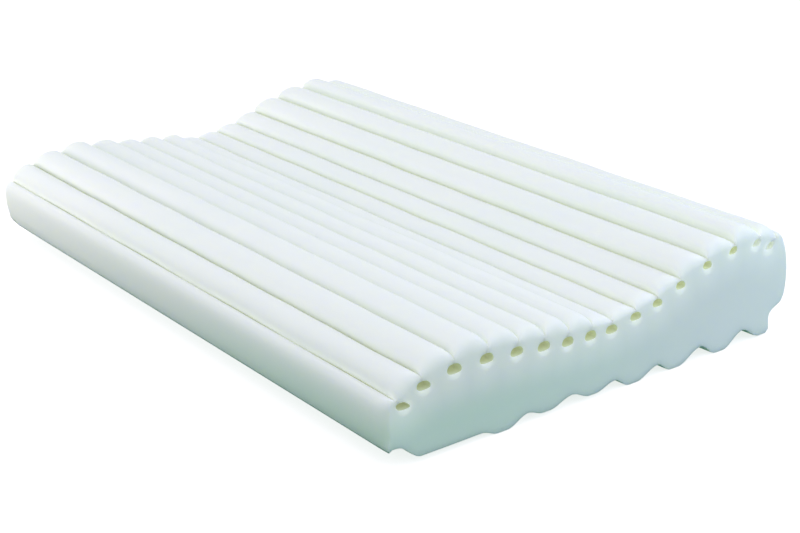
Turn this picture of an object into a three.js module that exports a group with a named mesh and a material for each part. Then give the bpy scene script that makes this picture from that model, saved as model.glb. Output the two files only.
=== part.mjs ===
// A contour pillow cut from one block of bare memory foam, in millimetres.
// X runs along the pillow from end to end, -Y is the low front lobe under the neck,
// +Y is the high back lobe, and Z is up from the surface that the pillow lies on.
// Every rib, slit, vent channel and wave runs straight along X, so the body is one
// section in Y and Z, carried along X and rolled in at both ends.

import * as THREE from 'three';

// Overall length
const LENGTH = 600;

// Rolled ends: how far along X the roll reaches, and how far it takes the surface in.
// The valleys between the ribs rise a little there instead.
const ROLL_REACH = 7;
const SLIT_ROLL = -0.5;
const SIDE_ROLL = 6;
const CROWN_KEPT_AT_END = 0.1;
const ROLL_STEPS = 5;

// Over this distance from the nearest slit's mouth a face takes up its full roll
const SIDE_ROLL_START = 14;

// Slits between the ribs
const SLIT_WIDTH = 1.2;

// Ribs: a higher power gives flatter crowns, and a fullness of 0.5 gives upright sides as
// on an ellipse, where 1 gives slanting ones
const CROWN_POWER = 2.3;
const CROWN_FULLNESS = 0.5;
const CROWN_STEPS = 9;

// What a full lean does: how far it shifts a crown, and how much it slants the back side
const LEAN_SHIFT = 0.35;
const LEAN_SLANT = 0.3;

// Sixteen slits from front to back. Each runs from its mouth, in the valley between
// two ribs, down to the apex of a vent channel that stands on a flat base.
const SLITS = [
  { mouthY: -195.2, mouthZ: 52.5, apexY: -192.0, apexZ: 50.4, baseY: -187.4, baseZ: 44.6, width: 10.8 },
  { mouthY: -174.0, mouthZ: 64.6, apexY: -172.8, apexZ: 61.0, baseY: -170.7, baseZ: 54.2, width: 12.0 },
  { mouthY: -144.7, mouthZ: 69.8, apexY: -145.8, apexZ: 66.2, baseY: -144.2, baseZ: 58.6, width: 13.0 },
  { mouthY: -114.2, mouthZ: 70.2, apexY: -116.6, apexZ: 66.0, baseY: -115.7, baseZ: 58.4, width: 12.5 },
  { mouthY: -86.2, mouthZ: 67.2, apexY: -88.6, apexZ: 63.3, baseY: -88.1, baseZ: 56.1, width: 12.0 },
  { mouthY: -61.2, mouthZ: 64.2, apexY: -63.0, apexZ: 60.4, baseY: -62.4, baseZ: 53.0, width: 12.0 },
  { mouthY: -37.2, mouthZ: 61.4, apexY: -39.6, apexZ: 57.6, baseY: -39.2, baseZ: 50.2, width: 11.5 },
  { mouthY: -14.7, mouthZ: 60.0, apexY: -17.0, apexZ: 56.4, baseY: -16.4, baseZ: 48.9, width: 11.5 },
  { mouthY: 6.6, mouthZ: 57.4, apexY: 4.0, apexZ: 55.4, baseY: 5.1, baseZ: 48.5, width: 12.0 },
  { mouthY: 29.6, mouthZ: 61.0, apexY: 28.6, apexZ: 59.0, baseY: 29.8, baseZ: 52.6, width: 11.5 },
  { mouthY: 53.2, mouthZ: 65.2, apexY: 51.5, apexZ: 64.0, baseY: 52.6, baseZ: 57.6, width: 10.2 },
  { mouthY: 76.4, mouthZ: 73.6, apexY: 75.8, apexZ: 72.4, baseY: 76.9, baseZ: 66.0, width: 10.0 },
  { mouthY: 105.7, mouthZ: 83.0, apexY: 104.7, apexZ: 81.8, baseY: 105.4, baseZ: 75.4, width: 9.6 },
  { mouthY: 136.6, mouthZ: 88.1, apexY: 135.2, apexZ: 87.0, baseY: 133.0, baseZ: 81.0, width: 8.6 },
  { mouthY: 166.0, mouthZ: 88.3, apexY: 163.0, apexZ: 87.0, baseY: 159.6, baseZ: 80.8, width: 8.6 },
  { mouthY: 185.3, mouthZ: 82.5, apexY: 180.4, apexZ: 81.0, baseY: 175.6, baseZ: 74.6, width: 8.6 },
];

// Half of a vent channel's rim, as shares of its width and height, from apex to base
const CHANNEL_RIM = [
  { across: 0.32, up: 0.62 },
  { across: 0.5, up: 0.24 },
  { across: 0.36, up: 0 },
];

// Crowns from front to back: height over the line between the rib's two slits, and how
// much the crown leans to the front, where 0 is even and 1 is full. The first and the
// last of the seventeen ribs are the rounded tops of the front and the back face.
const CROWNS = [
  { height: 8.6, lean: 0 },
  { height: 9.5, lean: 0 },
  { height: 10.6, lean: 0 },
  { height: 8.8, lean: 0 },
  { height: 7.6, lean: 0 },
  { height: 8.6, lean: 0 },
  { height: 7.9, lean: 0 },
  { height: 3.9, lean: 0.5 },
  { height: 4.9, lean: 1 },
  { height: 5.6, lean: 1 },
  { height: 7.3, lean: 1 },
  { height: 9.3, lean: 1 },
  { height: 9.6, lean: 1 },
  { height: 11.0, lean: 1 },
  { height: 8.0, lean: 0.3 },
];

// Front face, from its lower edge up and over to the first slit
const FRONT_FACE = [
  { y: -201.4, z: 15.4 },
  { y: -204.4, z: 26.0 },
  { y: -205.6, z: 38.6 },
  { y: -204.8, z: 48.2 },
  { y: -201.4, z: 53.6 },
  { y: -197.6, z: 54.4 },
];
const FRONT_STEPS = 12;

// Back face, from the last slit over and down to its lower edge
const BACK_FACE = [
  { y: 188.8, z: 85.8 },
  { y: 193.6, z: 84.2 },
  { y: 198.4, z: 78.4 },
  { y: 203.0, z: 66.0 },
  { y: 205.6, z: 49.0 },
  { y: 205.0, z: 34.0 },
  { y: 203.0, z: 27.0 },
  { y: 199.0, z: 21.6 },
  { y: 189.0, z: 16.6 },
  { y: 186.0, z: 11.0 },
  { y: 184.0, z: 4.4 },
];
const BACK_STEPS = 22;

// Over this height from its lower edge a face takes up its full roll
const FACE_ROLL_START = 12;

// Underside from back to front: a wave of crests and hollows. A crest at height 0 is a
// strip that touches the surface, and half is half the length of its flat.
const UNDERSIDE = [
  { y: 176.3, z: 1.2, half: 4 },
  { y: 152.2, z: 11.2, half: 0 },
  { y: 125.6, z: 0, half: 4 },
  { y: 103.6, z: 10.2, half: 0 },
  { y: 74.8, z: 0, half: 4 },
  { y: 55.8, z: 7.8, half: 0 },
  { y: 29.8, z: 0, half: 4 },
  { y: 10.2, z: 8.0, half: 0 },
  { y: -12.2, z: 3.0, half: 3 },
  { y: -33.2, z: 9.0, half: 0 },
  { y: -58.2, z: 3.0, half: 3 },
  { y: -76.2, z: 7.2, half: 0 },
  { y: -99.8, z: 0, half: 4 },
  { y: -120.2, z: 4.6, half: 0 },
  { y: -159.2, z: 4.4, half: 14 },
  { y: -196.6, z: 16.6, half: 2 },
];
const WAVE_STEPS = 4;

// Foam colour and finish
const FOAM_COLOR = new THREE.Color(0.93, 0.95, 0.95);
const FOAM_ROUGHNESS = 0.9;

const NO_ROLL = new THREE.Vector2(0, 0);

// A point of the section and how far the roll has moved it at the end face
function sectionPoint(place, roll) {
  return { place, roll };
}

// Everything that one slit and its channel need, worked out from its row
function slitShape(row) {
  const mouth = new THREE.Vector2(row.mouthY, row.mouthZ);
  const apex = new THREE.Vector2(row.apexY, row.apexZ);
  const down = apex.clone().sub(mouth).normalize();
  const across = new THREE.Vector2(-down.y, down.x);
  const half = across.multiplyScalar(SLIT_WIDTH / 2);
  return {
    row,
    roll: down.multiplyScalar(SLIT_ROLL),
    frontMouth: mouth.clone().sub(half),
    backMouth: mouth.clone().add(half),
    frontFoot: apex.clone().sub(half),
    backFoot: apex.clone().add(half),
  };
}

// One side of a channel's rim; side is -1 towards the front and 1 towards the back
function channelSide(row, side) {
  const height = row.apexZ - row.baseZ;
  return CHANNEL_RIM.map(({ across, up }) => {
    const middle = THREE.MathUtils.lerp(row.baseY, row.apexY, up);
    const place = new THREE.Vector2(middle + side * across * row.width, row.baseZ + up * height);
    return sectionPoint(place, NO_ROLL);
  });
}

// Down one side of a slit, round its channel and up the other side
function slitOutline(slit) {
  return [
    sectionPoint(slit.frontMouth, slit.roll),
    sectionPoint(slit.frontFoot, NO_ROLL),
    ...channelSide(slit.row, -1),
    ...channelSide(slit.row, 1).reverse(),
    sectionPoint(slit.backFoot, NO_ROLL),
    sectionPoint(slit.backMouth, slit.roll),
  ];
}

// The crown of a rib between two slits, without its two ends
function crownOutline(frontSlit, backSlit, { height, lean }) {
  const start = frontSlit.backMouth;
  const end = backSlit.frontMouth;
  const chord = end.clone().sub(start).normalize();
  const outward = new THREE.Vector2(-chord.y, chord.x);
  const points = [];
  for (let step = 1; step < CROWN_STEPS; step += 1) {
    const share = step / CROWN_STEPS;
    const along = (1 - Math.cos(Math.PI * share)) / 2;
    const across = along ** (1 - LEAN_SHIFT * lean);
    const fullness = CROWN_FULLNESS + LEAN_SLANT * lean * along;
    const rise = height * (1 - Math.abs(2 * across - 1) ** CROWN_POWER) ** fullness;
    const place = start.clone().lerp(end, along).addScaledVector(outward, rise);
    const roll = frontSlit.roll.clone().lerp(backSlit.roll, along);
    roll.addScaledVector(outward, -rise * (1 - CROWN_KEPT_AT_END));
    points.push(sectionPoint(place, roll));
  }
  return points;
}

// A smooth face through a few places, rolled in square to itself, but less towards its
// lower edge and towards the mouth of the slit that it meets
function faceOutline(places, steps, mouth) {
  const curve = new THREE.SplineCurve(places.map(({ y, z }) => new THREE.Vector2(y, z)));
  const lowest = Math.min(...places.map(({ z }) => z));
  const points = [];
  for (let step = 0; step <= steps; step += 1) {
    const place = curve.getPointAt(step / steps);
    const along = curve.getTangentAt(step / steps);
    const outward = new THREE.Vector2(-along.y, along.x);
    const awayFromMouth = THREE.MathUtils.smoothstep(place.distanceTo(mouth), 0, SIDE_ROLL_START);
    const fullRoll = THREE.MathUtils.lerp(SLIT_ROLL, SIDE_ROLL, awayFromMouth);
    const amount = fullRoll * THREE.MathUtils.smoothstep(place.y, lowest, lowest + FACE_ROLL_START);
    points.push(sectionPoint(place, outward.multiplyScalar(-amount)));
  }
  return points;
}

// The waves of the underside: flats joined by half cosines
function undersideOutline() {
  const points = [];
  UNDERSIDE.forEach((row, index) => {
    points.push(new THREE.Vector2(row.y + row.half, row.z));
    if (row.half > 0) {
      points.push(new THREE.Vector2(row.y - row.half, row.z));
    }
    const next = UNDERSIDE[index + 1];
    if (next === undefined) {
      return;
    }
    const start = row.y - row.half;
    const end = next.y + next.half;
    for (let step = 1; step < WAVE_STEPS; step += 1) {
      const share = step / WAVE_STEPS;
      const rise = (1 - Math.cos(Math.PI * share)) / 2;
      const y = THREE.MathUtils.lerp(start, end, share);
      points.push(new THREE.Vector2(y, THREE.MathUtils.lerp(row.z, next.z, rise)));
    }
  });
  return points.map((place) => sectionPoint(place, NO_ROLL));
}

// The whole section: up the front, over the ribs, down the back, and back underneath
function foamSection() {
  const slits = SLITS.map(slitShape);
  const top = slits.flatMap((slit, index) => {
    const next = slits[index + 1];
    const crown = next ? crownOutline(slit, next, CROWNS[index]) : [];
    return [...slitOutline(slit), ...crown];
  });
  return [
    ...faceOutline(FRONT_FACE, FRONT_STEPS, slits[0].frontMouth),
    ...top,
    ...faceOutline(BACK_FACE, BACK_STEPS, slits[slits.length - 1].backMouth),
    ...undersideOutline(),
  ];
}

// Where the sections stand along X, and how much of the roll each one has
function stations() {
  const list = [];
  for (let step = ROLL_STEPS; step >= 0; step -= 1) {
    const angle = (Math.PI / 2) * (step / ROLL_STEPS);
    const inset = ROLL_REACH * (1 - Math.sin(angle));
    list.push({ x: -LENGTH / 2 + inset, share: 1 - Math.cos(angle) });
  }
  const mirrored = list.map(({ x, share }) => ({ x: -x, share })).reverse();
  return [...list, ...mirrored];
}

// The section as it stands at one station, moved in by that station's share of the roll
function rolledRing(section, share) {
  return section.map(({ place, roll }) => place.clone().addScaledVector(roll, share));
}

// One closed body: a band of triangles between each two sections and a cap at each end
function loft(section, places) {
  const count = section.length;
  const rings = places.map(({ share }) => rolledRing(section, share));
  const positions = rings.flatMap((ring, index) =>
    ring.flatMap((point) => [places[index].x, point.x, point.y]));
  const indices = [];
  for (let ring = 0; ring < rings.length - 1; ring += 1) {
    for (let index = 0; index < count; index += 1) {
      const next = (index + 1) % count;
      const a = ring * count + index;
      const b = ring * count + next;
      const c = a + count;
      const d = b + count;
      indices.push(a, c, b, b, c, d);
    }
  }
  const lastRing = (rings.length - 1) * count;
  THREE.ShapeUtils.triangulateShape(rings[0], []).forEach(([a, b, c]) => {
    indices.push(a, c, b);
  });
  THREE.ShapeUtils.triangulateShape(rings[rings.length - 1], []).forEach(([a, b, c]) => {
    indices.push(lastRing + a, lastRing + b, lastRing + c);
  });
  const geometry = new THREE.BufferGeometry();
  geometry.setAttribute('position', new THREE.Float32BufferAttribute(positions, 3));
  geometry.setIndex(indices);
  geometry.computeVertexNormals();
  return geometry;
}

function foamBody() {
  const material = new THREE.MeshStandardMaterial({
    color: FOAM_COLOR,
    roughness: FOAM_ROUGHNESS,
    metalness: 0,
  });
  const mesh = new THREE.Mesh(loft(foamSection(), stations()), material);
  mesh.name = 'foam_body';
  return mesh;
}

const group = new THREE.Group();
group.add(foamBody());

export default group;
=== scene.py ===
"""A contour pillow cut from one block of bare memory foam.

The section is worked out in millimetres in the Y and Z of the frame, at each of many
stations along X, and the sections are joined into one closed mesh. The sizes are the
solid's own. What is added is the fine form: rounded vent channels that open a little at
the end faces, softer edges there, and the slight unevenness of cut foam.
"""

import math
import random
from collections import namedtuple

import bpy
import numpy as np
from mathutils import Matrix, Vector
from mathutils.geometry import tessellate_polygon


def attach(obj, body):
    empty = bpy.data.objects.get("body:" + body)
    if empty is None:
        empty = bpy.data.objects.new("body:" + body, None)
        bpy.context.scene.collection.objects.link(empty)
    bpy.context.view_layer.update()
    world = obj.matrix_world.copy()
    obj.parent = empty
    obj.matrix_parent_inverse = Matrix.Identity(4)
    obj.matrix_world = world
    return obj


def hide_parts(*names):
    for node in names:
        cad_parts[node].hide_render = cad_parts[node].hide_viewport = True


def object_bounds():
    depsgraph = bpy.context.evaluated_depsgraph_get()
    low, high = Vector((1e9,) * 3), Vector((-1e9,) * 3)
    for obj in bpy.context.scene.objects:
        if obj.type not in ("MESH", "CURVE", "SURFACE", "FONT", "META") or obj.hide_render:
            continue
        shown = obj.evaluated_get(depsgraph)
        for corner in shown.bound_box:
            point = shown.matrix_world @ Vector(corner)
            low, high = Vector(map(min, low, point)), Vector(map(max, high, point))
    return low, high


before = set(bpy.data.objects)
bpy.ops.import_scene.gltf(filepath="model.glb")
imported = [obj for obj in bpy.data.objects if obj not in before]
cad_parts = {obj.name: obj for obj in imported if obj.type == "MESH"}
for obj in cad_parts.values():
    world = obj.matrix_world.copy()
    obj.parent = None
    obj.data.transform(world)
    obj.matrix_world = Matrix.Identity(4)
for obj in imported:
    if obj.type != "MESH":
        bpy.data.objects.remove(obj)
cad_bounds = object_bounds()

MM = 0.001

# Length and rolled ends, in millimetres: how far along X the roll reaches at the -X and
# at the +X end, and how far it takes each part of the surface in
LENGTH = (cad_bounds[1].x - cad_bounds[0].x) / MM
ROLL_REACH = {-1: 7.0, 1: 12.0}
SLIT_ROLL = -0.5
SIDE_ROLL = 6.0
UNDERSIDE_ROLL = 0.5
CROWN_KEPT_AT_END = 0.1

# The front and the back face take up their full roll over these distances: from the
# nearest slit's mouth, and up from their lower edge
MOUTH_CLEARANCE = 14.0
LOWER_CLEARANCE = 12.0

# A second, small roll right at the end face, where the ribs and their valleys meet it; a
# valley keeps a little of its slit
EDGE_REACH = 4.5
EDGE_ROLL = 2.2
EDGE_KEPT_SLIT = 0.5
CROWN_EDGE_ROLL = 0.6

# The lower edge of the front face lifts at the far end
FAR_LIFT = 4.0
FAR_LIFT_REACH = 14.0
FAR_LIFT_WIDTH = 22.0

# Slits: their width along the length, the first one's share of it, and the width at the
# end faces
SLIT_WIDTH = 1.0
FIRST_SLIT_SHARE = 0.4
SLIT_WIDTH_AT_END = 0.12

# How far the mouths of slits and the crowns of ribs wander along the length, in waves of
# these lengths
MOUTH_WANDER = 0.35
CROWN_WANDER = 0.3
WANDER_WAVES = 3
SHORTEST_WAVE = 70.0
LONGEST_WAVE = 260.0
SEED = 16

# Sixteen slits from front to back: the mouth between two ribs, the apex of the vent
# channel below it, the middle and the width of the channel's base, and how much painted
# glow, standing in for light through the foam, shows at the slit's foot
Slit = namedtuple("Slit", "mouth_y mouth_z apex_y apex_z base_y base_z width light")
SLITS = [
    Slit(-195.2, 52.5, -192.0, 50.4, -187.4, 44.6, 10.8, 0.6),
    Slit(-174.0, 64.6, -172.8, 61.0, -170.7, 54.2, 12.0, 0.0),
    Slit(-144.7, 69.8, -145.8, 66.2, -144.2, 58.6, 13.0, 0.0),
    Slit(-114.2, 70.2, -116.6, 66.0, -115.7, 58.4, 12.5, 0.0),
    Slit(-86.2, 67.2, -88.6, 63.3, -88.1, 56.1, 12.0, 0.0),
    Slit(-61.2, 64.2, -63.0, 60.4, -62.4, 53.0, 12.0, 0.0),
    Slit(-37.2, 61.4, -39.6, 57.6, -39.2, 50.2, 11.5, 0.0),
    Slit(-14.7, 60.0, -17.0, 56.4, -16.4, 48.9, 11.5, 0.0),
    Slit(6.6, 57.4, 4.0, 55.4, 5.1, 48.5, 12.0, 0.1),
    Slit(29.6, 61.0, 28.6, 59.0, 29.8, 52.6, 11.5, 0.18),
    Slit(53.2, 65.2, 51.5, 64.0, 52.6, 57.6, 10.2, 0.15),
    Slit(76.4, 73.6, 75.8, 72.4, 76.9, 66.0, 10.0, 0.15),
    Slit(105.7, 83.0, 104.7, 81.8, 105.4, 75.4, 9.6, 0.12),
    Slit(136.6, 88.1, 135.2, 87.0, 133.0, 81.0, 8.6, 0.2),
    Slit(166.0, 88.3, 163.0, 87.0, 159.6, 80.8, 8.6, 0.6),
    Slit(185.3, 82.5, 180.4, 81.0, 175.6, 74.6, 8.6, 0.25),
]

# Half of a vent channel's rim, as shares of its width and height, from apex to base
ChannelRim = namedtuple("ChannelRim", "across up")
CHANNEL_RIM = [
    ChannelRim(0.29, 0.84),
    ChannelRim(0.44, 0.56),
    ChannelRim(0.46, 0.28),
    ChannelRim(0.31, 0.04),
]
CHANNEL_STEPS = 4

# Channel mouths at the end faces: how far along X they open, by how much, and how far
# from the apex they open in full
FLARE_REACH = 3.2
FLARE = 0.5
FLARE_CLEARANCE = 4.0

# Crowns of the ribs between two slits: height over the line between their mouths, and
# how much the crown leans to the front
Crown = namedtuple("Crown", "height lean")
CROWNS = [
    Crown(8.6, 0.0),
    Crown(9.5, 0.0),
    Crown(10.6, 0.0),
    Crown(8.8, 0.0),
    Crown(7.6, 0.0),
    Crown(8.6, 0.0),
    Crown(7.9, 0.0),
    Crown(3.9, 0.5),
    Crown(4.9, 1.0),
    Crown(5.6, 1.0),
    Crown(7.3, 1.0),
    Crown(9.3, 1.0),
    Crown(9.6, 1.0),
    Crown(11.0, 1.0),
    Crown(8.0, 0.3),
]
CROWN_POWER = 2.3
CROWN_FULLNESS = 0.5
CROWN_STEPS = 18
LEAN_SHIFT = 0.35
LEAN_SLANT = 0.3

# A rib's foot reaches this far from the mouth of a slit
FOOT_REACH = 3.5

FacePoint = namedtuple("FacePoint", "y z")

# Front face, from its lower edge up and over to the first slit
FRONT_FACE = [
    FacePoint(-201.4, 15.4),
    FacePoint(-204.4, 26.0),
    FacePoint(-205.6, 38.6),
    FacePoint(-204.8, 48.2),
    FacePoint(-201.4, 53.6),
    FacePoint(-197.6, 54.4),
]
FRONT_STEPS = 28

# Back face, from the last slit over and down to its lower edge
BACK_FACE = [
    FacePoint(188.8, 85.8),
    FacePoint(193.6, 84.2),
    FacePoint(198.4, 78.4),
    FacePoint(203.0, 66.0),
    FacePoint(205.6, 49.0),
    FacePoint(205.0, 34.0),
    FacePoint(203.0, 27.0),
    FacePoint(199.0, 21.6),
    FacePoint(189.0, 16.6),
    FacePoint(186.0, 11.0),
    FacePoint(184.0, 4.4),
]
BACK_STEPS = 48

# Underside from back to front: crests and hollows, with half the length of each flat
Wave = namedtuple("Wave", "y z half")
UNDERSIDE = [
    Wave(176.3, 1.2, 4.0),
    Wave(152.2, 11.2, 0.0),
    Wave(125.6, 0.0, 4.0),
    Wave(103.6, 10.2, 0.0),
    Wave(74.8, 0.0, 4.0),
    Wave(55.8, 7.8, 0.0),
    Wave(29.8, 0.0, 4.0),
    Wave(10.2, 8.0, 0.0),
    Wave(-12.2, 3.0, 3.0),
    Wave(-33.2, 9.0, 0.0),
    Wave(-58.2, 3.0, 3.0),
    Wave(-76.2, 7.2, 0.0),
    Wave(-99.8, 0.0, 4.0),
    Wave(-120.2, 4.6, 0.0),
    Wave(-159.2, 4.4, 14.0),
    Wave(-196.6, 16.6, 2.0),
]
WAVE_STEPS = 9

# Stations along X, and places worked out along each span of a curve
ROLL_STATIONS = 14
MIDDLE_STATIONS = 42
SPAN_PLACES = 24

# Painted shade and glow that the mesh carries for the material, by the attribute's name, with
# the distance from an end face over which each comes in: painted shade and glow inside a
# slit or channel, painted shade at the foot of a rib, and a painted glow standing in for
# light through the foam
PAINTED_RECESS_ATTRIBUTE = "painted_recess_shade_and_glow"
PAINTED_FOOT_ATTRIBUTE = "painted_foot_shade"
PAINTED_GLOW_ATTRIBUTE = "painted_glow"
TINT_FADES = {PAINTED_RECESS_ATTRIBUTE: 0.8, PAINTED_FOOT_ATTRIBUTE: 4.5, PAINTED_GLOW_ATTRIBUTE: 0.8}
Tint = namedtuple("Tint", "deep foot lit", defaults=(0.0, 0.0, 0.0))

# How much painted shade and glow there is at a slit's mouth, on its walls and in a channel.
# The last channels get less of it and show as pale dimples, and the painted glow grows in
# the channels from front to back.
MOUTH_DEEP = 0.35
WALL_DEEP = 0.8
CHANNEL_DEEP = 1.0
PALE_DEEP = 0.35
PALE_CHANNELS = 2
BACK_CHANNEL_GLOW = 0.9


def smooth(value, low, high):
    """0 below low, 1 above high, and a smooth step between."""
    share = min(1.0, max(0.0, (value - low) / (high - low)))
    return share * share * (3.0 - 2.0 * share)


def spline(places, steps):
    """A Catmull-Rom curve through the places, at equal steps of its length."""
    ends = np.vstack([places[0], places, places[-1]])
    fine = []
    spans = len(places) - 1
    for span in range(spans):
        a, b, c, d = ends[span:span + 4]
        for t in np.linspace(0.0, 1.0, SPAN_PLACES, endpoint=span == spans - 1):
            slope = (c - a) * t
            bend = (2 * a - 5 * b + 4 * c - d) * t ** 2
            turn = (3 * b - a - 3 * c + d) * t ** 3
            fine.append((2 * b + slope + bend + turn) / 2)
    fine = np.array(fine)
    lengths = np.hypot(*np.diff(fine, axis=0).T)
    walked = np.concatenate([[0.0], np.cumsum(lengths)])
    wanted = np.linspace(0.0, walked[-1], steps + 1)
    return np.column_stack([np.interp(wanted, walked, fine[:, k]) for k in (0, 1)])


def wander(rng, amount):
    """A slow, small waver along X: a few waves of random length and place."""
    waves = []
    for _ in range(WANDER_WAVES):
        length = rng.uniform(SHORTEST_WAVE, LONGEST_WAVE)
        waves.append((length, rng.uniform(0.0, math.tau)))
    return lambda x: amount * sum(math.sin(math.tau * x / w + p) for w, p in waves) / 2.0


class Unevenness:
    """How each slit's mouth and each crown wander along the length."""

    def __init__(self, rng):
        self.mouths = [wander(rng, MOUTH_WANDER) for _ in SLITS]
        self.crowns = [wander(rng, CROWN_WANDER) for _ in CROWNS]


class Outline:
    """Places of the section. Each has its shift by the roll, by the small roll at the end
    face and by the flare of a channel's mouth, and its shares of painted shade and glow."""

    def __init__(self):
        self.places = []
        self.rolls = []
        self.edges = []
        self.flares = []
        self.tints = []

    def add(self, place, roll=(0.0, 0.0), edge=(0.0, 0.0), flare=(0.0, 0.0), tint=Tint()):
        self.places.append(place)
        self.rolls.append(roll)
        self.edges.append(edge)
        self.flares.append(flare)
        self.tints.append(tint)


class SlitShape:
    """What one slit and its channel need at one station."""

    def __init__(self, row, shift, width):
        self.row = row
        mouth = np.array([row.mouth_y + shift, row.mouth_z])
        apex = np.array([row.apex_y + shift / 2, row.apex_z])
        length = np.linalg.norm(apex - mouth)
        down = (apex - mouth) / length
        half = np.array([-down[1], down[0]]) * width / 2
        self.roll = down * SLIT_ROLL
        self.edge = down * min(EDGE_ROLL, length - SLIT_ROLL - EDGE_KEPT_SLIT)
        self.front_mouth = mouth - half
        self.back_mouth = mouth + half
        self.front_foot = apex - half
        self.back_foot = apex + half
        self.centre = np.array([(row.apex_y + row.base_y) / 2, (row.apex_z + row.base_z) / 2])


def channel_side(row, side):
    """Control places on one side of a channel; side is -1 for the front, 1 for the back."""
    height = row.apex_z - row.base_z
    places = []
    for rim in CHANNEL_RIM:
        middle = row.base_y + (row.apex_y - row.base_y) * rim.up
        places.append(np.array([middle + side * rim.across * row.width, row.base_z + rim.up * height]))
    return places


def add_slit(outline, slit, channel_shade_and_glow):
    """Down the front side of a slit, round its channel and up the back side."""
    # Painted shade and glow at the slit's mouth and on its walls; the channel's own comes in as an
    # argument
    mouth_shade_and_glow = Tint(deep=MOUTH_DEEP, foot=1.0, lit=slit.row.light)
    wall_shade_and_glow = Tint(deep=WALL_DEEP, foot=1.0)
    front_wall = (slit.front_mouth + slit.front_foot) / 2
    back_wall = (slit.back_mouth + slit.back_foot) / 2
    apex = (slit.front_foot + slit.back_foot) / 2
    controls = [slit.front_foot, *channel_side(slit.row, -1)]
    controls += [*reversed(channel_side(slit.row, 1)), slit.back_foot]
    outline.add(slit.front_mouth, slit.roll, slit.edge, tint=mouth_shade_and_glow)
    outline.add(front_wall, slit.roll / 2, slit.edge / 2, tint=wall_shade_and_glow)
    for place in spline(np.array(controls), CHANNEL_STEPS * (len(controls) - 1)):
        away = place - slit.centre
        amount = FLARE * smooth(np.linalg.norm(place - apex), 0.0, FLARE_CLEARANCE)
        outline.add(place, flare=away / np.linalg.norm(away) * amount, tint=channel_shade_and_glow)
    outline.add(back_wall, slit.roll / 2, slit.edge / 2, tint=wall_shade_and_glow)
    outline.add(slit.back_mouth, slit.roll, slit.edge, tint=mouth_shade_and_glow)


def add_crown(outline, front_slit, back_slit, height, lean):
    """The crown of a rib between two slits, without its two ends."""
    start = front_slit.back_mouth
    end = back_slit.front_mouth
    span = np.linalg.norm(end - start)
    chord = (end - start) / span
    outward = np.array([-chord[1], chord[0]])
    for step in range(1, CROWN_STEPS):
        along = (1 - math.cos(math.pi * step / CROWN_STEPS)) / 2
        across = along ** (1 - LEAN_SHIFT * lean)
        fullness = CROWN_FULLNESS + LEAN_SLANT * lean * along
        rise = height * (1 - abs(2 * across - 1) ** CROWN_POWER) ** fullness
        place = start + (end - start) * along + outward * rise
        roll = front_slit.roll * (1 - along) + back_slit.roll * along
        roll = roll - outward * rise * (1 - CROWN_KEPT_AT_END)
        off_foot = smooth(min(along, 1 - along) * span, 0.0, FOOT_REACH)
        edge = front_slit.edge * (1 - along) + back_slit.edge * along
        edge = edge - outward * CROWN_EDGE_ROLL * off_foot
        # Painted shade at the rib's foot next to each slit, with that slit's painted glow
        nearest = front_slit if along < 0.5 else back_slit
        foot = 1.0 - off_foot
        outline.add(place, roll, edge, tint=Tint(foot=foot, lit=foot * nearest.row.light))


def add_face(outline, places, steps, slit, mouth):
    """A smooth face, rolled in square to itself.

    It rolls in less by its lower edge and by the mouth of the slit next to it, where it
    takes up that slit's small roll instead.
    """
    curve = spline(np.array(places), steps)
    ahead = np.gradient(curve, axis=0)
    ahead /= np.linalg.norm(ahead, axis=1)[:, None]
    lowest = min(place.z for place in places)
    for place, (dy, dz) in zip(curve, ahead):
        away = smooth(np.linalg.norm(place - mouth), 0.0, MOUTH_CLEARANCE)
        upper = SLIT_ROLL + (SIDE_ROLL - SLIT_ROLL) * away
        share = smooth(place[1], lowest, lowest + LOWER_CLEARANCE)
        amount = UNDERSIDE_ROLL + (upper - UNDERSIDE_ROLL) * share
        outline.add(place, np.array([dz, -dy]) * amount, slit.edge * (1 - away))


def add_underside(outline):
    """The waves of the underside: flats joined by half cosines."""
    lift = np.array([0.0, UNDERSIDE_ROLL])
    for row, after in zip(UNDERSIDE, [*UNDERSIDE[1:], None]):
        outline.add(np.array([row.y + row.half, row.z]), lift)
        if row.half > 0:
            outline.add(np.array([row.y - row.half, row.z]), lift)
        if after is None:
            return
        start = row.y - row.half
        end = after.y + after.half
        for step in range(1, WAVE_STEPS):
            share = step / WAVE_STEPS
            rise = (1 - math.cos(math.pi * share)) / 2
            y = start + (end - start) * share
            outline.add(np.array([y, row.z + (after.z - row.z) * rise]), lift)


def slits_at(station, x, uneven):
    """The slits at one station: they narrow towards the end faces."""
    open_share = smooth(station.inset, 0.0, ROLL_REACH[station.side])
    width = SLIT_WIDTH_AT_END + (SLIT_WIDTH - SLIT_WIDTH_AT_END) * open_share
    widths = [width * FIRST_SLIT_SHARE] + [width] * (len(SLITS) - 1)
    return [SlitShape(row, shift(x), wide) for row, shift, wide in zip(SLITS, uneven.mouths, widths)]


def section_at(station, uneven):
    """The whole section at one station, as an Outline."""
    x = station.side * (LENGTH / 2 - station.inset)
    slits = slits_at(station, x, uneven)
    last = len(slits) - 1
    outline = Outline()
    add_face(outline, FRONT_FACE, FRONT_STEPS, slits[0], slits[0].front_mouth)
    for index, slit in enumerate(slits):
        # Painted shade and glow in each channel: less of it in the last ones, and more painted glow
        # towards the back
        deep = PALE_DEEP if index > last - PALE_CHANNELS else CHANNEL_DEEP
        add_slit(outline, slit, Tint(deep=deep, lit=BACK_CHANNEL_GLOW * index / last))
        if index < last:
            crown = CROWNS[index]
            height = crown.height + uneven.crowns[index](x)
            add_crown(outline, slit, slits[index + 1], height, crown.lean)
    add_face(outline, BACK_FACE, BACK_STEPS, slits[-1], slits[-1].back_mouth)
    add_underside(outline)
    return outline


Station = namedtuple("Station", "side inset share")


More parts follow.
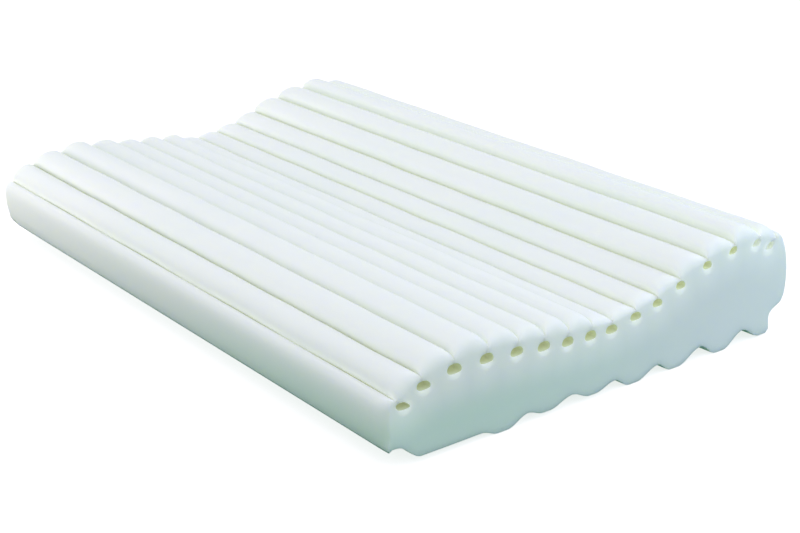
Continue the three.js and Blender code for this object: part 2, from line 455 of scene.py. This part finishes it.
def stations():
    """Stations from -X to +X, with how far in from the end each lies and its share of the roll."""
    turns = [math.pi / 2 * step / ROLL_STATIONS for step in range(ROLL_STATIONS, -1, -1)]
    halves = {}
    for side, reach in ROLL_REACH.items():
        rolled = [Station(side, reach * (1 - math.sin(turn)), 1 - math.cos(turn)) for turn in turns]
        straight = np.linspace(reach, LENGTH / 2, MIDDLE_STATIONS // 2 + 1)[1:]
        halves[side] = rolled + [Station(side, inset, 0.0) for inset in straight]
    return halves[-1] + halves[1][-2::-1]


def lift_far_edge(places, inset):
    """Lifts the lower edge of the front face towards the far end face."""
    lift = FAR_LIFT * (1 - smooth(inset, 0.0, FAR_LIFT_REACH))
    front = places[:, 0].min()
    gaps = np.hypot(places[:, 0] - front, places[:, 1] - FRONT_FACE[0].z)
    places[:, 1] += lift * np.maximum(0.0, 1 - gaps / FAR_LIFT_WIDTH)


def rolled_ring(outline, station):
    """The section's points at a station, with the rolls and the flare of its end."""
    opened = max(0.0, 1 - station.inset / FLARE_REACH) ** 2
    from_edge = min(1.0, station.inset / EDGE_REACH)
    edge_share = 1 - math.sqrt(1 - (1 - from_edge) ** 2)
    places = np.array(outline.places)
    places += np.array(outline.rolls) * station.share
    places += np.array(outline.flares) * opened
    places += np.array(outline.edges) * edge_share
    if station.side < 0:
        lift_far_edge(places, station.inset)
    x = np.full(len(places), station.side * (LENGTH / 2 - station.inset))
    return np.column_stack([x, places])


def band_faces(rings, count):
    """Four-sided faces between each ring of points and the next."""
    faces = []
    for ring in range(rings - 1):
        base = ring * count
        for index in range(count):
            after = (index + 1) % count
            faces.append((base + index, base + count + index, base + count + after, base + after))
    return faces


def end_faces(ring, first, side):
    """Triangles that close the end at a ring, whose points are numbered from first."""
    flat = [Vector((y, z, 0.0)) for _, y, z in ring]
    faces = []
    for a, b, c in tessellate_polygon([flat]):
        counter = (flat[b] - flat[a]).cross(flat[c] - flat[a]).z > 0
        corners = (a, b, c) if counter == (side > 0) else (a, c, b)
        faces.append(tuple(first + corner for corner in corners))
    return faces


def foam_mesh():
    """One closed mesh: bands between the stations and an end face at each end."""
    uneven = Unevenness(random.Random(SEED))
    rings = []
    tints = []
    for station in stations():
        outline = section_at(station, uneven)
        rings.append(rolled_ring(outline, station))
        fades = [smooth(station.inset, 0.0, reach) for reach in TINT_FADES.values()]
        tints.append(np.array(outline.tints) * fades)
    count = len(rings[0])
    bands = band_faces(len(rings), count)
    ends = end_faces(rings[0], 0, -1) + end_faces(rings[-1], (len(rings) - 1) * count, 1)
    mesh = bpy.data.meshes.new("foam_pillow")
    mesh.from_pydata((np.vstack(rings) * MM).tolist(), [], bands + ends)
    mesh.polygons.foreach_set("use_smooth", [True] * len(bands) + [False] * len(ends))
    for name, values in zip(TINT_FADES, np.vstack(tints).T):
        attribute = mesh.attributes.new(name, "FLOAT", "POINT")
        attribute.data.foreach_set("value", values.astype(np.float32))
    mesh.update()
    return mesh


# Foam colours, as the eye sees them in even light: two whites
FOAM_WHITE = (0.905, 0.935, 0.925, 1.0)
FOAM_PALE = (0.93, 0.945, 0.945, 1.0)
# Painted shade: a yellow-green at the foot of a rib, and a darker olive deep in the slits and channels
FOOT_SHADE_COLOR = (0.82, 0.87, 0.69, 1.0)
RECESS_SHADE_COLOR = (0.60, 0.63, 0.46, 1.0)
# Painted glow in the slits and channels, standing in for light through the foam
PAINTED_GLOW_COLOR = (0.92, 1.0, 0.62, 1.0)
# The share of the painted shade at a rib's foot, and the strength of the painted glow
FOOT_SHADE_SHARE = 0.4
PAINTED_GLOW_STRENGTH = 0.12

# Clouds of the two whites: how many to a metre, and where one white gives way to the other
CLOUD_SCALE = 9.0
CLOUD_DETAIL = 3.0
CLOUD_LOW = 0.3
CLOUD_HIGH = 0.7

# Painted shade on the foam low down by the near front corner: its colour, and where it
# begins and ends, by height and by distance from the corner, in metres
FOAM_SHADE = (0.76, 0.90, 0.82, 1.0)
SHADE_TOP = 0.058
SHADE_FULL = 0.02
SHADE_CORNER = (0.3, -0.2, 0.0)
SHADE_REACH = 0.38
SHADE_CORE = 0.05

# Painted glow, standing in for light that wells out of the foam round the channel mouths,
# in metres: a rim round a place just over the middle of each channel's base, and a wide
# band near the end faces
PAINTED_HALO_COLOR = (0.97, 1.0, 0.97, 1.0)
HALO_RISE = 0.001
RIM_STRENGTH = 0.13
RIM_START = 0.004
RIM_REACH = 0.0085
BAND_STRENGTH = 0.08
BAND_START = 0.004
BAND_REACH = 0.032
BAND_BEGINS = 0.286
BAND_IS_FULL = 0.299

# The painted halo glow is gone where the foam is this deep inside a slit or channel
HALO_DEEPEST = 0.3

# Foam cells and finer grain: how many to a metre, the height of each, and the bump
CELL_SCALE = 1100.0
GRAIN_SCALE = 420.0
GRAIN_DETAIL = 4.0
CELL_HEIGHT = 0.6
GRAIN_HEIGHT = 0.8
BUMP_STRENGTH = 0.22
BUMP_DISTANCE = 0.0004

# How the foam takes light: values of the shader that are the same all over
FOAM_SHADER = {
    "Roughness": 0.9,
    "Specular IOR Level": 0.25,
    "Subsurface Weight": 0.85,
    "Subsurface Radius": (1.0, 1.0, 0.75),
    "Subsurface Scale": 0.011,
    "Sheen Weight": 0.12,
    "Sheen Roughness": 0.6,
}


class Nodes:
    """Short words for building a node tree."""

    def __init__(self, tree):
        self.tree = tree

    def new(self, kind, **values):
        node = self.tree.nodes.new(kind)
        for name, value in values.items():
            setattr(node, name, value)
        return node

    def link(self, source, target):
        self.tree.links.new(source, target)

    def mix(self, share, first, second):
        """A colour mix of two colours or sockets by a share socket."""
        node = self.new("ShaderNodeMix", data_type="RGBA")
        self.link(share, node.inputs[0])
        for value, socket in ((first, node.inputs[6]), (second, node.inputs[7])):
            if isinstance(value, tuple):
                socket.default_value = value
            else:
                self.link(value, socket)
        return node.outputs[2]

    def ramp(self, source, low, high):
        """Maps low..high of the source to 0..1, clamped and smooth."""
        node = self.new("ShaderNodeMapRange", interpolation_type="SMOOTHSTEP")
        node.inputs[1].default_value = low
        node.inputs[2].default_value = high
        self.link(source, node.inputs[0])
        return node.outputs[0]

    def math(self, operation, *sources):
        """Plain arithmetic on one or two sockets."""
        node = self.new("ShaderNodeMath", operation=operation)
        for source, socket in zip(sources, node.inputs):
            self.link(source, socket)
        return node.outputs[0]

    def scaled(self, source, factor):
        node = self.new("ShaderNodeMath", operation="MULTIPLY")
        self.link(source, node.inputs[0])
        node.inputs[1].default_value = factor
        return node.outputs[0]

    def distance(self, place, centre):
        """How far a place socket is from a centre."""
        node = self.new("ShaderNodeVectorMath", operation="DISTANCE")
        node.inputs[1].default_value = centre
        self.link(place, node.inputs[0])
        return node.outputs["Value"]

    def noise(self, place, scale, detail):
        node = self.new("ShaderNodeTexNoise")
        node.inputs["Scale"].default_value = scale
        node.inputs["Detail"].default_value = detail
        self.link(place, node.inputs["Vector"])
        return node.outputs["Fac"]

    def attribute(self, name):
        return self.new("ShaderNodeAttribute", attribute_name=name).outputs["Fac"]


def painted_halo_strength(nodes, place, x):
    """Painted glow: a pale rim round each channel's mouth, and a faint wide band along the mouths at
    both ends.
    """
    section = nodes.new("ShaderNodeVectorMath", operation="MULTIPLY")
    section.inputs[1].default_value = (0.0, 1.0, 1.0)
    nodes.link(place, section.inputs[0])
    nearest = None
    for row in SLITS:
        centre = (0.0, row.base_y * MM, row.base_z * MM + HALO_RISE)
        distance = nodes.distance(section.outputs["Vector"], centre)
        nearest = distance if nearest is None else nodes.math("MINIMUM", nearest, distance)
    rim = nodes.ramp(nearest, RIM_REACH, RIM_START)
    rim = nodes.scaled(nodes.math("MULTIPLY", rim, rim), RIM_STRENGTH)
    band = nodes.scaled(nodes.ramp(nearest, BAND_REACH, BAND_START), BAND_STRENGTH)
    at_end = nodes.ramp(nodes.math("ABSOLUTE", x), BAND_BEGINS, BAND_IS_FULL)
    return nodes.math("ADD", rim, nodes.math("MULTIPLY", band, at_end))


def foam_surface(nodes, place, z):
    """The foam's colour: two whites in clouds, with painted shade low down by the near corner."""
    clouds = nodes.ramp(nodes.noise(place, CLOUD_SCALE, CLOUD_DETAIL), CLOUD_LOW, CLOUD_HIGH)
    low = nodes.ramp(z, SHADE_TOP, SHADE_FULL)
    by_corner = nodes.ramp(nodes.distance(place, SHADE_CORNER), SHADE_REACH, SHADE_CORE)
    clean = nodes.mix(clouds, FOAM_WHITE, FOAM_PALE)
    return nodes.mix(nodes.math("MULTIPLY", low, by_corner), clean, FOAM_SHADE)


def foam_bump(nodes, place):
    """Fine cells and grain of the cut foam, as a normal."""
    cells = nodes.new("ShaderNodeTexVoronoi", feature="F1")
    cells.inputs["Scale"].default_value = CELL_SCALE
    nodes.link(place, cells.inputs["Vector"])
    cell_height = nodes.scaled(cells.outputs["Distance"], CELL_HEIGHT)
    grain_height = nodes.scaled(nodes.noise(place, GRAIN_SCALE, GRAIN_DETAIL), GRAIN_HEIGHT)
    bump = nodes.new("ShaderNodeBump")
    bump.inputs["Strength"].default_value = BUMP_STRENGTH
    bump.inputs["Distance"].default_value = BUMP_DISTANCE
    nodes.link(nodes.math("ADD", cell_height, grain_height), bump.inputs["Height"])
    return bump.outputs["Normal"]


def foam_material():
    """Bare open-cell foam: soft white, matt, a little see-through, with fine cells, and with painted
    shade and painted glow.
    """
    material = bpy.data.materials.new("bare_foam")
    material.use_nodes = True
    nodes = Nodes(material.node_tree)
    shader = material.node_tree.nodes["Principled BSDF"]
    place = nodes.new("ShaderNodeTexCoord").outputs["Object"]
    split = nodes.new("ShaderNodeSeparateXYZ")
    nodes.link(place, split.inputs[0])
    deep = nodes.attribute(PAINTED_RECESS_ATTRIBUTE)

    surface = foam_surface(nodes, place, split.outputs["Z"])
    # Painted shade: yellow-green at the feet of the ribs, darker olive deep in the slits and channels
    foot_shaded = nodes.mix(nodes.scaled(nodes.attribute(PAINTED_FOOT_ATTRIBUTE), FOOT_SHADE_SHARE), surface, FOOT_SHADE_COLOR)
    nodes.link(nodes.mix(deep, foot_shaded, RECESS_SHADE_COLOR), shader.inputs["Base Color"])
    nodes.link(foam_bump(nodes, place), shader.inputs["Normal"])

    # Painted glow in the slits and channels and round their mouths, standing in for light through the
    # foam
    glow = nodes.scaled(nodes.math("ADD", deep, nodes.attribute(PAINTED_GLOW_ATTRIBUTE)), PAINTED_GLOW_STRENGTH)
    shallow = nodes.ramp(deep, HALO_DEEPEST, 0.0)
    halo = nodes.math("MULTIPLY", painted_halo_strength(nodes, place, split.outputs["X"]), shallow)
    nodes.link(nodes.mix(deep, PAINTED_HALO_COLOR, PAINTED_GLOW_COLOR), shader.inputs["Emission Color"])
    nodes.link(nodes.math("ADD", glow, halo), shader.inputs["Emission Strength"])

    for name, value in FOAM_SHADER.items():
        shader.inputs[name].default_value = value
    return material


def make_pillow():
    pillow = bpy.data.objects.new("foam_pillow", foam_mesh())
    bpy.context.scene.collection.objects.link(pillow)
    pillow.data.materials.append(foam_material())
    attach(pillow, "root")
    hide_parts("foam_body")


# Floor and far wall, in metres; the floor lies just under the pillow
STUDIO_HALF = 12.0
FLOOR_DROP = 0.0003
WALL_HEIGHT = 6.0
FLOOR_COLOR = (0.62, 0.55, 0.59, 1.0)
FLOOR_GLOW = 0.75
WALL_COLOR = (0.0, 0.0, 0.0, 1.0)
WALL_GLOW = 1.0
GLOW_COLOR = (1.0, 1.0, 1.0, 1.0)

# The studio's four corners, as the signs of X and Y
STUDIO_CORNERS = [(-1, -1), (1, -1), (1, 1), (-1, 1)]


def studio_corners(z):
    return [(x * STUDIO_HALF, y * STUDIO_HALF, z) for x, y in STUDIO_CORNERS]


def make_backdrop(name, corners, faces, color, glow):
    """A plain matt part of the studio, which glows a little but throws no light on the pillow."""
    mesh = bpy.data.meshes.new(name)
    mesh.from_pydata(corners, [], faces)
    backdrop = bpy.data.objects.new(name, mesh)
    bpy.context.scene.collection.objects.link(backdrop)
    material = bpy.data.materials.new("pale_" + name)
    material.use_nodes = True
    shader = material.node_tree.nodes["Principled BSDF"]
    shader.inputs["Base Color"].default_value = color
    shader.inputs["Roughness"].default_value = 1.0
    shader.inputs["Specular IOR Level"].default_value = 0.0
    shader.inputs["Emission Color"].default_value = GLOW_COLOR
    shader.inputs["Emission Strength"].default_value = glow
    material.cycles.emission_sampling = "NONE"
    mesh.materials.append(material)
    backdrop.visible_diffuse = False
    backdrop.visible_glossy = False
    return backdrop


def make_floor():
    """A plain pale floor, as of an evenly lit studio."""
    make_backdrop("floor", studio_corners(-FLOOR_DROP), [(0, 1, 2, 3)], FLOOR_COLOR, FLOOR_GLOW)


def make_wall():
    """A plain wall far off, which only the camera sees, so that low views show no horizon."""
    corners = studio_corners(-FLOOR_DROP) + studio_corners(WALL_HEIGHT)
    faces = [(k, (k + 1) % 4, 4 + (k + 1) % 4, 4 + k) for k in range(4)]
    wall = make_backdrop("wall", corners, faces, WALL_COLOR, WALL_GLOW)
    wall.visible_transmission = False
    wall.visible_shadow = False


# Soft panels of light, in metres and watts
Panel = namedtuple("Panel", "name place aim size power color")
PANELS = [
    Panel("far_front_panel", (-0.6, -0.65, 0.03), (-0.3, -0.2, 0.03), 0.3, 2.4, (1.0, 0.88, 0.86)),
    Panel("back_end_panel", (0.75, 0.5, 0.22), (0.3, 0.12, 0.05), 0.3, 1.1, (0.5, 0.73, 1.0)),
]

# The studio round the pillow: above and below the horizon
ROOM_ABOVE = (0.85, 0.895, 0.93, 1.0)
ROOM_BELOW = (0.02, 0.14, 0.08, 1.0)
ROOM_STRENGTH = 1.0
HORIZON_BLEND = 0.25


def make_lights():
    for panel in PANELS:
        data = bpy.data.lights.new(panel.name, "AREA")
        data.energy = panel.power
        data.color = panel.color
        data.size = panel.size
        light = bpy.data.objects.new(panel.name, data)
        light.location = panel.place
        away = Vector(panel.place) - Vector(panel.aim)
        light.rotation_euler = away.to_track_quat("Z", "Y").to_euler()
        bpy.context.scene.collection.objects.link(light)


def make_room():
    """Even soft light from all round, dimmer from below the horizon."""
    world = bpy.data.worlds.new("studio")
    world.use_nodes = True
    nodes = Nodes(world.node_tree)
    direction = nodes.new("ShaderNodeTexCoord").outputs["Generated"]
    split = nodes.new("ShaderNodeSeparateXYZ")
    nodes.link(direction, split.inputs[0])
    share = nodes.ramp(split.outputs["Z"], -HORIZON_BLEND, HORIZON_BLEND)
    background = world.node_tree.nodes["Background"]
    nodes.link(nodes.mix(share, ROOM_BELOW, ROOM_ABOVE), background.inputs["Color"])
    background.inputs["Strength"].default_value = ROOM_STRENGTH
    bpy.context.scene.world = world


# The photograph's camera, found from the pillow's straight edges: its place in metres, its
# angles in degrees, and its focal length in pixels of an image 800 wide
CAMERA_PLACE = Vector((1.05606, -0.76624, 0.51519))
CAMERA_AZIMUTH = 52.74
CAMERA_ELEVATION = 21.14
CAMERA_ROLL = -0.284
FOCAL_PIXELS = 1580.0
IMAGE_WIDTH = 800.0
SENSOR_WIDTH = 36.0


def towards(azimuth, elevation):
    """The direction from the pillow to azimuth and elevation, in degrees, as views count them."""
    a = math.radians(azimuth)
    e = math.radians(elevation)
    return Vector((math.sin(a) * math.cos(e), -math.cos(a) * math.cos(e), math.sin(e)))


def make_camera():
    back = towards(CAMERA_AZIMUTH, CAMERA_ELEVATION)
    right = Vector((0.0, 0.0, 1.0)).cross(back).normalized()
    up = back.cross(right)
    turn = Matrix((right, up, back)).transposed().to_4x4()
    roll = Matrix.Rotation(math.radians(CAMERA_ROLL), 4, "Z")
    data = bpy.data.cameras.new("camera")
    data.sensor_width = SENSOR_WIDTH
    data.lens = FOCAL_PIXELS / IMAGE_WIDTH * SENSOR_WIDTH
    camera = bpy.data.objects.new("camera", data)
    camera.matrix_world = Matrix.Translation(CAMERA_PLACE) @ turn @ roll
    bpy.context.scene.collection.objects.link(camera)
    bpy.context.scene.camera = camera


make_pillow()
make_floor()
make_wall()
make_lights()
make_room()
make_camera()
bpy.context.scene.view_settings.view_transform = "Standard"
